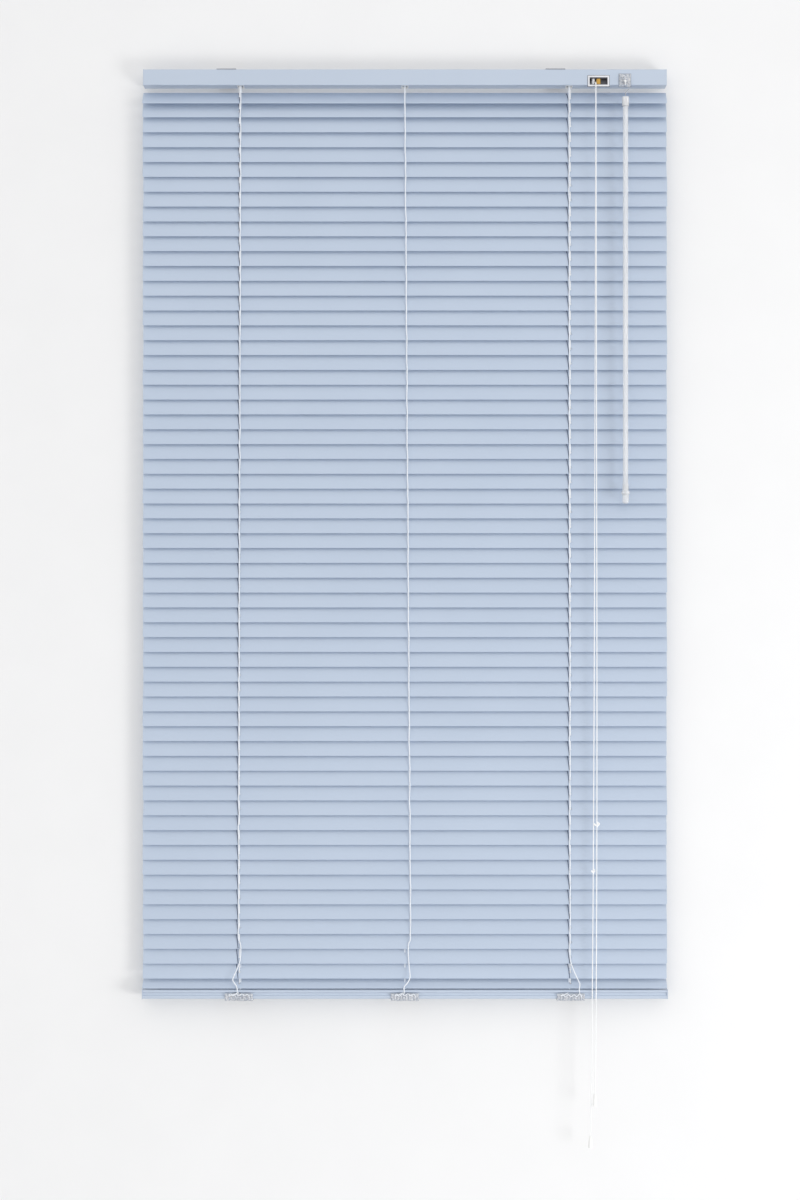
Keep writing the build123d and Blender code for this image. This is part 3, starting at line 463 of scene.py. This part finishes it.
def rung_end(height, angle, front, depth):
    """Where a rung that lies depth under its slat meets the cord in front (-1) or behind (1)."""
    reach = (front * stand_off(angle) - depth * math.sin(angle)) / math.cos(angle)
    return (MIDDLE_Y + front * stand_off(angle),
            height + reach * math.sin(angle) - depth * math.cos(angle))


FRONT_DRIFT = {
    "left": ((0.5, -1240.0), (0.2, -1262.0), (-4.8, -1276.0), (-10.6, -1288.0), (-11.0, -1292.0),
             (-5.0, -1299.0)),
    "middle": ((4.5, -1240.0), (5.2, -1262.0), (6.5, -1276.0), (8.0, -1288.0), (3.0, -1296.0),
               (-1.5, -1300.0)),
    "right": ((0.8, -1240.0), (1.0, -1262.0), (5.5, -1276.0), (10.0, -1286.0), (13.0, -1292.0),
              (15.5, -1297.0)),
}
FRONT_LEAN = {"left": -3.4, "middle": 9.0, "right": 1.4}
OVER_STRAND = ((-11.9, -0.5), (-6.0, -1.2), (0.0, -1.9), (6.0, -2.7), (9.4, -3.6))
closed_off = stand_off(TILTS[10])
last_off = stand_off(TILTS[-1])
FRONT_OUT = (closed_off, closed_off, 6.0, 9.5, last_off, last_off)


def fall(height):
    """Share of a ladder's length that lies above a height."""
    return (LADDER_TOP - height) / (LADDER_TOP - LADDER_END)


tail_starts = {}
for side, ladder_x in zip(SIDES, LADDER_X):
    sway = random.Random("ladder" + side)
    lines = []
    for front in (-1, 1):
        line = [(ladder_x, MIDDLE_Y + front * DRUM_SIDE, LADDER_TOP),
                (ladder_x, MIDDLE_Y + front * SNOUT_SIDE, SNOUT_Z)]
        for height, angle in zip(HEIGHTS[:-2], TILTS):
            lean = FRONT_LEAN[side] * fall(height) if front < 0 else 0.0
            edge_z = height + front * HALF_CHORD * math.sin(angle)
            wave = lean + sway.uniform(-EDGE_WAVE, EDGE_WAVE)
            line.append((ladder_x + wave, MIDDLE_Y + front * (stand_off(angle) + 0.05), edge_z))
            line.append((ladder_x + lean + sway.uniform(-HOLLOW_WAVE, HOLLOW_WAVE),
                         MIDDLE_Y + front * stand_off(angle), edge_z - HOLLOW_DROP))
        line = [p for p in line if p[2] > DRIFT_FROM]
        if front < 0:
            for (aside, z), out in zip(FRONT_DRIFT[side], FRONT_OUT):
                line.append((ladder_x + aside, MIDDLE_Y - out, z))
            line.append((ladder_x + FRONT_DRIFT[side][-1][0] * 0.9, MIDDLE_Y - last_off, LADDER_END))
        else:
            line += [(ladder_x, MIDDLE_Y + closed_off, -1262.0),
                     (ladder_x, MIDDLE_Y + last_off, -1290.0), (ladder_x, MIDDLE_Y + last_off, LADDER_END)]
        tail_starts[side, front] = line[-1]
        lines.append(line)
    for height, angle in zip(HEIGHTS, TILTS):
        lean = FRONT_LEAN[side] * fall(height) if height > LEAN_UNTIL else 0.0
        for aside in (-0.5, 0.5):
            lines.append([(ladder_x + aside + (lean if front < 0 else 0.0),
                           *rung_end(height, angle, front, RUNG_DEPTH)) for front in (-1, 1)])
    cords = spline_object("ladder_" + side + "_cords", lines[:2], LADDER_RADIUS, sides=2, cuts=4)
    rungs = spline_object("ladder_" + side, lines[2:], RUNG_RADIUS, sides=1)
    only(rungs)
    cords.select_set(True)
    bpy.ops.object.join()
    ladder = settle(rungs, "ladder_" + side, ladder_braid, "frame",
                    ("slats_on_ladders",) if side == "left" else ())
    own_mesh(ladder)
    if side == "middle":
        continue
    strands_over = []
    for height, angle in zip(HEIGHTS[:-1], TILTS):
        lean = FRONT_LEAN[side] * fall(height)
        over = []
        for along, aside in OVER_STRAND:
            rise = SLAT_CROWN * (1 - (along / HALF_CHORD) ** 2) + 0.4
            over.append((ladder_x + lean + aside,
                         MIDDLE_Y + along * math.cos(angle) - rise * math.sin(angle),
                         height + along * math.sin(angle) + rise * math.cos(angle)))
        strands_over.append(over)
    # These strands are near-black as painted shade.
    over = spline_object("ladder_shade_strands_" + side, strands_over, STRAND_RADIUS, sides=1, cuts=4)
    settle(over, "ladder_shade_strands_" + side, painted_shade_strand, "frame")
    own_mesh(over)

# Ladder tails: the ends of the braided cords, drawn down over the bottom rail's sides and tucked under
# its clips, which hold them there.
RAIL_BASE = -1317.45
SHOULDER = -1307.75
TAIL_OUT = 13.4
UNDER_RAIL = RAIL_BASE - 0.9
for side, ladder_x in zip(SIDES, LADDER_X):
    lines = []
    for front in (-1, 1):
        x, y, z = tail_starts[side, front]
        face = MIDDLE_Y + front * TAIL_OUT
        lines.append([(x, y, z + 1.0), (x, y, z - 1.5), (x + 0.6, face, SHOULDER - 1.0),
                      (ladder_x + 0.8 * (x - ladder_x) + 1.0, face, RAIL_BASE + 1.5),
                      (ladder_x + 0.5 * (x - ladder_x), face - front * 0.5, UNDER_RAIL),
                      (ladder_x, MIDDLE_Y + front * 6.0, UNDER_RAIL)])
    tails = spline_object("ladder_tails_" + side, lines, LADDER_RADIUS, cuts=8)
    settle(tails, "ladder_tails_" + side, ladder_braid, "bottom", ("ladder_tails_" + side,))

# Lift cords: two braided cords, each from a knot under the bottom rail, up through the slots, over the
# cradle and along the rail to the lock. A lane has its slot's place, how far past the right ladder and
# how far to the front it passes, and its height.
LIFT_Y = -19.756
LANE_Y = -23.7
LIFT_LANES = {"left": (-216.9, 8.0, 2.2, -10.6), "right": (256.9, 11.9, 0.4, -9.0)}
LANE_FROM_X = 281.2
STOP_Z = RAIL_BASE - 1.6
STOP_RADIUS = 0.8
STOP_TURNS = ((0.0, 0.0, 2.6), (1.2, 0.0, 1.0), (0.0, 1.2, 0.0), (-1.2, 0.0, 0.6), (0.0, -1.2, 1.2),
              (0.8, 0.0, 0.0), (0.0, 0.0, -0.4))
for side, (slot_x, past, aside, lane) in LIFT_LANES.items():
    in_rail = [(slot_x, LIFT_Y, lane - 4.0), (slot_x, LIFT_Y, lane), (slot_x + 4.0, LIFT_Y, lane),
               (LADDER_X[2] + past, LIFT_Y - aside, lane), (LANE_FROM_X, LANE_Y, lane),
               (LOCK_CORD_X, LANE_Y, lane), (LOCK_CORD_X, SILL_Y, lane)]
    held = spline_object("lift_cord_run_" + side, [in_rail], CORD_RADIUS, cuts=10)
    settle(held, "lift_cord_run_" + side, cord_braid, "frame", ("lift_cord_" + side,))
    top = lane - 3.9
    fall_line = [(slot_x, LIFT_Y, top), (slot_x, LIFT_Y, -700.0), (slot_x, LIFT_Y, STOP_Z)]
    drop = spline_object("lift_cord_" + side, [fall_line], CORD_RADIUS, cuts=30)
    settle(drop, "lift_cord_drop_" + side, cord_braid, "frame")
    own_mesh(drop)
    turns = [(slot_x + x, LIFT_Y + y, STOP_Z + z) for x, y, z in STOP_TURNS]
    stop = spline_object("stop_knot_" + side, [turns], STOP_RADIUS, cuts=6)
    settle(stop, "stop_knot_" + side, cord_braid, "bottom", ("stop_knot_" + side,))

# Head rail: a channel roll-formed from lacquered steel, with lips turned in at the top. It is cut out
# at the right for the cord lock and the tilter.
rail_enamel = finish("rail_enamel", (0.505, 0.578, 0.69), (0.495, 0.568, 0.68), 0.36, bump=0.03,
                     Coat_Weight=0.2, Coat_Roughness=0.2)


def dress(mat, *names):
    """Gives carried-over nodes their finish."""
    for name in names:
        nodes[name].data.materials.clear()
        nodes[name].data.materials.append(mat)


dress(rail_enamel, "head_rail")

# End caps of the head rail: moulded in a matching colour and pushed into its ends. The bottom rail's
# caps have the same finish.
cap_plastic = finish("cap_plastic", (0.48, 0.55, 0.665), (0.46, 0.53, 0.645), 0.42, bump=0.05)
dress(cap_plastic, "rail_end_cap_left", "rail_end_cap_right")

# Wall brackets: folded zinc-plated steel, each with a snap lever on a headed rivet. They are screwed to
# the wall, and the head rail snaps into them.
zinc_steel = finish("zinc_steel", (0.46, 0.47, 0.50), (0.34, 0.35, 0.38), 0.36, bump=0.04, Metallic=1.0)
dress(zinc_steel, "wall_bracket_left", "wall_bracket_right", "bracket_lever_left", "bracket_lever_right",
      "lever_rivets")

# Tilt gear inside the rail: a square steel rod through grooved white drums in moulded cradles. The
# ladders hang from the drums, and a toothed gear turns the rod.
dress(zinc_steel, "tilt_rod")
dress(white_plastic, *[kind + side for kind in ("drum_", "cradle_") for side in SIDES], "worm_gear")

# Tilter: a worm drive in a clear moulding; its cover closes the cut-out in the rail's face. The worm's
# shaft comes out below it and ends in an eye.
moulded_clear = finish("moulded_clear", (0.95, 0.96, 0.99), (0.50, 0.56, 0.66), 0.14, bump=0.4,
                       grain=420.0, broad=420.0, Transmission_Weight=0.3, IOR=1.46)
dress(moulded_clear, "tilter_housing")
dress(white_plastic, "worm_shaft")
TILTER_X = 334.0
FACE_Y = -31.0
RIM_SHEET = 0.24
# Near-black for thin frames round openings in the rail's face: painted shadow in their seams.
seam_shadow_paint = finish("seam_shadow_paint", (0.20, 0.22, 0.26), (0.14, 0.15, 0.18), 0.6)


def rim(name, middle_x, width, low, high, line, mat, face=FACE_Y):
    """Thin upright frame round an opening in the rail's face, as a plane with its middle cut away."""
    bpy.ops.object.select_all(action="DESELECT")
    bpy.ops.mesh.primitive_plane_add(size=1.0, location=(0, 0, 0), rotation=(math.radians(90), 0, 0))
    frame_piece = bpy.context.object
    bpy.ops.transform.resize(value=(width * MM, 1, (high - low) * MM))
    bpy.ops.transform.translate(value=(middle_x * MM, (face - RIM_SHEET / 2) * MM, (low + high) / 2 * MM))
    bpy.ops.object.transform_apply(location=True, rotation=True, scale=True)
    bpy.ops.object.mode_set(mode="EDIT")
    bpy.ops.mesh.select_all(action="SELECT")
    bpy.ops.mesh.inset(thickness=line * MM, depth=0)
    bpy.ops.mesh.delete(type="FACE")
    bpy.ops.object.mode_set(mode="OBJECT")
    apply_modifier(frame_piece, "SOLIDIFY", thickness=RIM_SHEET * MM, offset=0.0)
    settle(frame_piece, name, mat, "frame")


# A near-black frame round the tilter's cover: painted shadow in its seam.
rim("tilter_seam_shadow", TILTER_X, 17.6, -16.0, 3.2, 0.75, seam_shadow_paint)

# Wand: a hexagonal stick of clear plastic that hangs by a bent wire from the tilter's eye, with a clear
# sleeve at its top and a clear grip at its lower end.
dress(zinc_steel, "wand_hook")
# The clear stick's colour is a diffuse white with only partial transmission: painted light, for the light
# it refracts from the sides.
wand_acrylic_painted_light = finish("wand_acrylic_painted_light", (0.98, 0.985, 1.0), (0.93, 0.95, 0.98), 0.16, bump=0.0,
                      Transmission_Weight=0.35, IOR=1.46)
dress(wand_acrylic_painted_light, "wand", "wand_sleeve", "wand_grip")

# Cord lock: a pressed steel frame in the rail's window, with a bright bezel, a guide roller and a
# knurled brass roller on a sliding pin. The frame's colour is dark, for the shade inside it.
LOCK_X = 296.4
BEZEL_STAND = 0.75
brass = finish("brass", (0.72, 0.47, 0.14), (0.55, 0.34, 0.09), 0.28, bump=0.05, Metallic=1.0)
bright_steel = finish("bright_steel", (0.80, 0.81, 0.84), (0.72, 0.73, 0.76), 0.35, bump=0.03,
                      Metallic=0.3)
lock_steel = finish("lock_steel", (0.16, 0.16, 0.18), (0.10, 0.10, 0.12), 0.4, bump=0.05, Metallic=0.6)
dress(lock_steel, "cord_lock_housing")
dress(bright_steel, "guide_roller", "guide_pin", "lock_pin")
dress(brass, "lock_roller")
# A near-black frame round the bezel: painted shadow in its seam.
rim("lock_seam_shadow", LOCK_X, 31.6, -15.7, 0.9, 0.9, seam_shadow_paint)
rim("lock_bezel", LOCK_X, 30.3, -15.0, 0.3, 2.3, bright_steel, face=FACE_Y - BEZEL_STAND)

# Bottom rail: a tube roll-formed from lacquered steel, with a crowned top, recessed sides and an open
# seam beneath; three clear clips close it.
RAIL_SIDE = ((0.5, RAIL_BASE), (11.5, RAIL_BASE), (12.2, RAIL_BASE + 0.3), (12.5, RAIL_BASE + 1.0),
             (12.5, -1313.7), (12.3, -1313.1), (11.3, -1312.6), (10.7, -1312.2), (10.7, -1308.6),
             (11.3, -1308.2), (12.3, -1307.9), (12.5, -1307.3), (12.5, -1306.3), (12.2, -1305.6),
             (11.2, -1305.0), (8.0, -1304.7), (4.0, -1304.4), (0.0, -1304.3))
RAIL_HALF = 373.9
RAIL_SHEET = 0.6
SMOOTH_UNDER = math.radians(40)


def swept(name, section, middle_x, half_length, thickness, inward=-1.0):
    """A line of (y, z) millimetre points drawn out along X and thickened to one side."""
    bpy.ops.object.select_all(action="DESELECT")
    mesh = bpy.data.meshes.new(name)
    mesh.from_pydata([((middle_x - half_length) * MM, (MIDDLE_Y + y) * MM, z * MM) for y, z in section],
                     [(i, i + 1) for i in range(len(section) - 1)], [])
    obj = bpy.data.objects.new(name, mesh)
    scene.collection.objects.link(obj)
    only(obj)
    bpy.ops.object.mode_set(mode="EDIT")
    bpy.ops.mesh.select_mode(type="EDGE")
    bpy.ops.mesh.select_all(action="SELECT")
    bpy.ops.mesh.extrude_region_move(TRANSFORM_OT_translate={"value": (2 * half_length * MM, 0, 0)})
    bpy.ops.object.mode_set(mode="OBJECT")
    apply_modifier(obj, "SOLIDIFY", thickness=thickness * MM, offset=inward)
    only(obj)
    bpy.ops.object.shade_smooth_by_angle(angle=SMOOTH_UNDER)
    return obj


front_side = [(-y, z) for y, z in RAIL_SIDE]
rear_side = [(y, z) for y, z in reversed(RAIL_SIDE)][1:]
rail = swept("bottom_rail", front_side + rear_side, BLIND_X, RAIL_HALF, RAIL_SHEET)
settle(rail, "bottom_rail", rail_enamel, "bottom", ("bottom_rail",))

# Bottom end caps: moulded plates with the rail's outline, a little proud of it. Their plugs are hidden
# inside the rail and aren't modelled here.
CAP_PLATE = 1.6
CAP_LIP = 0.3


def cap_plate(name, end_x):
    """Outline of the rail's section, filled, drawn out along X and rounded."""
    outline = [(-y - CAP_LIP, z) for y, z in RAIL_SIDE[1:4]]
    outline += [(-12.8, -1306.2), (-12.4, -1305.2), (-11.3, -1304.6), (-6.0, -1304.1)]
    outline += [(-y, z) for y, z in reversed(outline)]
    bpy.ops.object.select_all(action="DESELECT")
    mesh = bpy.data.meshes.new(name)
    mesh.from_pydata([(end_x * MM, (MIDDLE_Y + y) * MM, (z - 0.1) * MM) for y, z in outline], [],
                     [tuple(range(len(outline)))])
    obj = bpy.data.objects.new(name, mesh)
    scene.collection.objects.link(obj)
    only(obj)
    bpy.ops.object.mode_set(mode="EDIT")
    bpy.ops.mesh.select_all(action="SELECT")
    bpy.ops.mesh.extrude_region_move(TRANSFORM_OT_translate={"value": (CAP_PLATE * MM, 0, 0)})
    bpy.ops.mesh.select_all(action="SELECT")
    bpy.ops.mesh.normals_make_consistent(inside=False)
    bpy.ops.object.mode_set(mode="OBJECT")
    apply_modifier(obj, "BEVEL", width=0.35 * MM, segments=2, limit_method="ANGLE")
    bpy.ops.object.shade_smooth_by_angle(angle=SMOOTH_UNDER)
    return obj


for side, end_x in (("left", BLIND_X - RAIL_HALF - CAP_PLATE), ("right", BLIND_X + RAIL_HALF)):
    settle(cap_plate("bottom_end_cap_" + side, end_x), "bottom_end_cap_" + side, cap_plastic, "bottom",
           ("bottom_end_cap_" + side,))

# Rail clips: clear moulded channels snapped over the rail's base, ribbed along their sides. Each holds
# a ladder's ends, and a loose end of braid is wound to and fro over its front.
CLIP_HALF = 20.0
CLIP_TOP = -1309.5
CLIP_BASE = -1320.0
CLIP_SIDE = 14.3
CLIP_WALL = 1.0
RIB_COUNT = 10
RIB_PITCH = 4.0
RIB_SIZE = (1.3, 1.4, 8.6)
STRING_RADIUS = 0.62
for side, (plug_x, start_x) in zip(SIDES, ((-216.9, -215.0), (20.0, 20.0), (256.9, 255.0))):
    section = [(-CLIP_SIDE, CLIP_TOP), (-CLIP_SIDE, CLIP_BASE + CLIP_WALL),
               (-CLIP_SIDE + CLIP_WALL, CLIP_BASE), (CLIP_SIDE - CLIP_WALL, CLIP_BASE),
               (CLIP_SIDE, CLIP_BASE + CLIP_WALL), (CLIP_SIDE, CLIP_TOP)]
    clip = swept("rail_clip_" + side, section, plug_x, CLIP_HALF, CLIP_WALL, inward=1.0)
    for face in (-1, 1):
        for step in range(RIB_COUNT):
            rib_x = plug_x + (step - (RIB_COUNT - 1) / 2) * RIB_PITCH
            bpy.ops.mesh.primitive_cube_add(size=1.0, location=(
                rib_x * MM, (MIDDLE_Y + face * (CLIP_SIDE + 0.3)) * MM, (CLIP_TOP + CLIP_BASE) / 2 * MM),
                scale=[side_length * MM for side_length in RIB_SIZE])
            rib = bpy.context.object
            bpy.ops.object.transform_apply(location=True, rotation=True, scale=True)
            apply_modifier(rib, "BEVEL", width=0.4 * MM, segments=2)
            clip.select_set(True)
            bpy.context.view_layer.objects.active = clip
            bpy.ops.object.join()
    settle(clip, "rail_clip_" + side, moulded_clear, "bottom", ("rail_clip_" + side,))
    wound = random.Random("string" + side)
    string = [(start_x - 2.0, MIDDLE_Y - 15.9, CLIP_TOP + 1.6)]
    for step in range(9):
        string.append((plug_x - 16.0 + 4.0 * step, MIDDLE_Y - 15.8 + wound.uniform(-0.3, 0.2),
                       CLIP_TOP + (0.6 if step % 2 else -4.6) + wound.uniform(-1.0, 1.0)))
    string.append((plug_x + 15.0, MIDDLE_Y - 15.4, CLIP_TOP - 6.0))
    wrap = spline_object("ladder_end_" + side, [string], STRING_RADIUS, sides=2, cuts=8)
    settle(wrap, "ladder_end_" + side, ladder_braid, "bottom")

# Studio: a pale wall behind the blind, a pale floor, a bright even world, a soft lamp low on the right
# and a weak one high in front. What bounces off wall and floor is a fixed light, so the blind's back,
# 1 mm from the wall, isn't black when it is seen from behind.
wall_paint = finish("wall_paint", (0.87, 0.87, 0.875), (0.86, 0.86, 0.865), 0.7, bump=0.1)
FLOOR_Z = -2.9
STAGE_SIZE = 12.0
WALL_Y = 0.001
WALL_GLOW = 0.85
FLOOR_GLOW = 1.0


def one_sided(mat, glow):
    """Makes a backdrop invisible from behind; glow is the light that diffuse rays get from its face."""
    tree = mat.node_tree
    hidden = tree.nodes.new("ShaderNodeBsdfTransparent")
    lit = tree.nodes.new("ShaderNodeEmission")
    lit.inputs["Strength"].default_value = glow
    path = tree.nodes.new("ShaderNodeLightPath")
    facing = tree.nodes.new("ShaderNodeNewGeometry")
    bounce = tree.nodes.new("ShaderNodeMixShader")
    switch = tree.nodes.new("ShaderNodeMixShader")
    tree.links.new(path.outputs["Is Diffuse Ray"], bounce.inputs["Fac"])
    tree.links.new(tree.nodes["Principled BSDF"].outputs["BSDF"], bounce.inputs[1])
    tree.links.new(lit.outputs["Emission"], bounce.inputs[2])
    tree.links.new(facing.outputs["Backfacing"], switch.inputs["Fac"])
    tree.links.new(bounce.outputs["Shader"], switch.inputs[1])
    tree.links.new(hidden.outputs["BSDF"], switch.inputs[2])
    tree.links.new(switch.outputs["Shader"], tree.nodes["Material Output"].inputs["Surface"])
    return mat


floor_paint = one_sided(wall_paint.copy(), FLOOR_GLOW)
floor_paint.name = "floor_paint"
one_sided(wall_paint, WALL_GLOW)
bpy.ops.object.select_all(action="DESELECT")
bpy.ops.mesh.primitive_plane_add(size=STAGE_SIZE, location=(0, WALL_Y, FLOOR_Z + STAGE_SIZE / 2),
                                 rotation=(math.radians(90), 0, 0))
wall = bpy.context.object
bpy.ops.mesh.primitive_plane_add(size=STAGE_SIZE, location=(0, WALL_Y - STAGE_SIZE / 2, FLOOR_Z))
floor = bpy.context.object
settle(wall, "backdrop_wall", wall_paint)
settle(floor, "floor", floor_paint)


def lamp(name, location, target, size, power):
    """Rectangular soft lamp aimed at a target."""
    bpy.ops.object.light_add(type="AREA", location=location)
    made = bpy.context.object
    made.name = name
    made.data.shape = "RECTANGLE"
    made.data.size, made.data.size_y = size
    made.data.energy = power
    made.rotation_euler = (Vector(target) - Vector(location)).to_track_quat("-Z", "Y").to_euler()


LIT_MIDDLE = (0, 0, -0.7)
lamp("key", (2.6, -2.4, -1.9), LIT_MIDDLE, (1.2, 1.2), 40)
lamp("fill", (-0.3, -3.0, 2.0), LIT_MIDDLE, (3.0, 2.0), 4)
studio = bpy.data.worlds.new("studio")
scene.world = studio
studio.use_nodes = True
surround = studio.node_tree.nodes["Background"]
surround.inputs["Color"].default_value = (1, 1, 1, 1)
surround.inputs["Strength"].default_value = 1.06
scene.view_settings.view_transform = "Standard"
